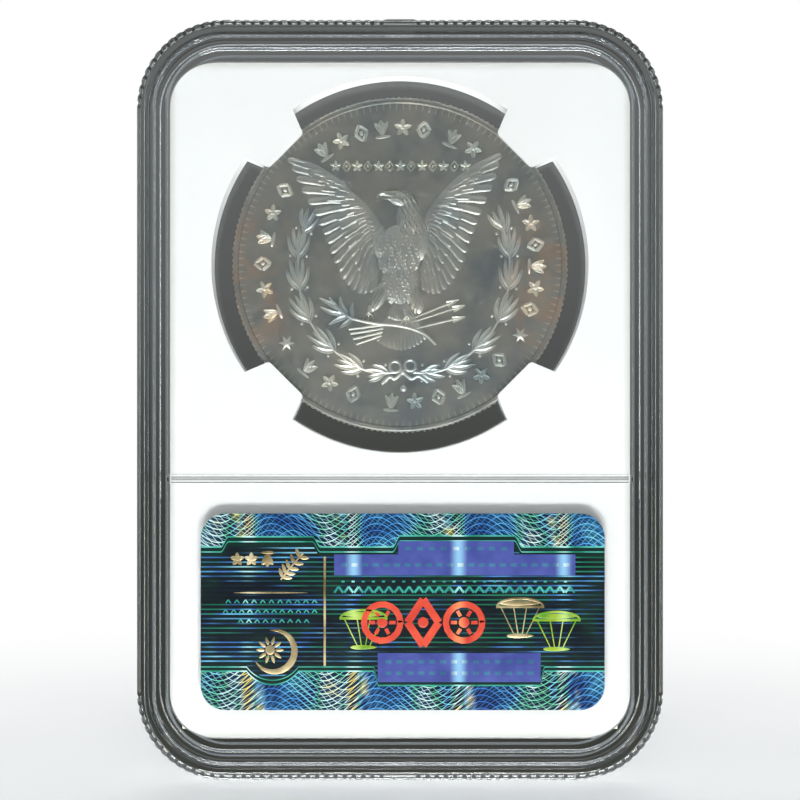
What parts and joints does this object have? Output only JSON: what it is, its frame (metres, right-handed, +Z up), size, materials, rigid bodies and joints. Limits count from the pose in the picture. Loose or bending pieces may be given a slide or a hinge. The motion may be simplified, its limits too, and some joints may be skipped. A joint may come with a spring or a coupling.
{
  "type": "graded coin slab",
  "caption": "Sealed clear plastic coin holder with stepped stacking rims, a white insert gripping a large silver coin, a printed label on one side and a foil seal on the other.",
  "frame": {"origin": "centre of the bounding box at its bottom, where the slab stands on the edge of its label end", "axes": "+Z up, from the label end to the coin end; -Y out of the side that carries the foil seal and shows the coin's reverse; +Y out of the side that shows the label; +X to the right as seen from -Y"},
  "size_m": [0.0596, 0.008, 0.0861],
  "materials": {
    "clear_plastic": "clear, polished, with a faint smoky tint",
    "white_insert": "satin white",
    "coin_silver": "struck silver with light toning",
    "label_card": "smooth printed card",
    "seal_foil": "iridescent printed foil"
  },
  "bodies": {
    "root": {"rear_shell": "clear_plastic", "front_shell": "clear_plastic", "core_insert": "white_insert", "coin": "coin_silver", "grade_label": "label_card", "foil_seal": "seal_foil"}
  },
  "joints": []
}
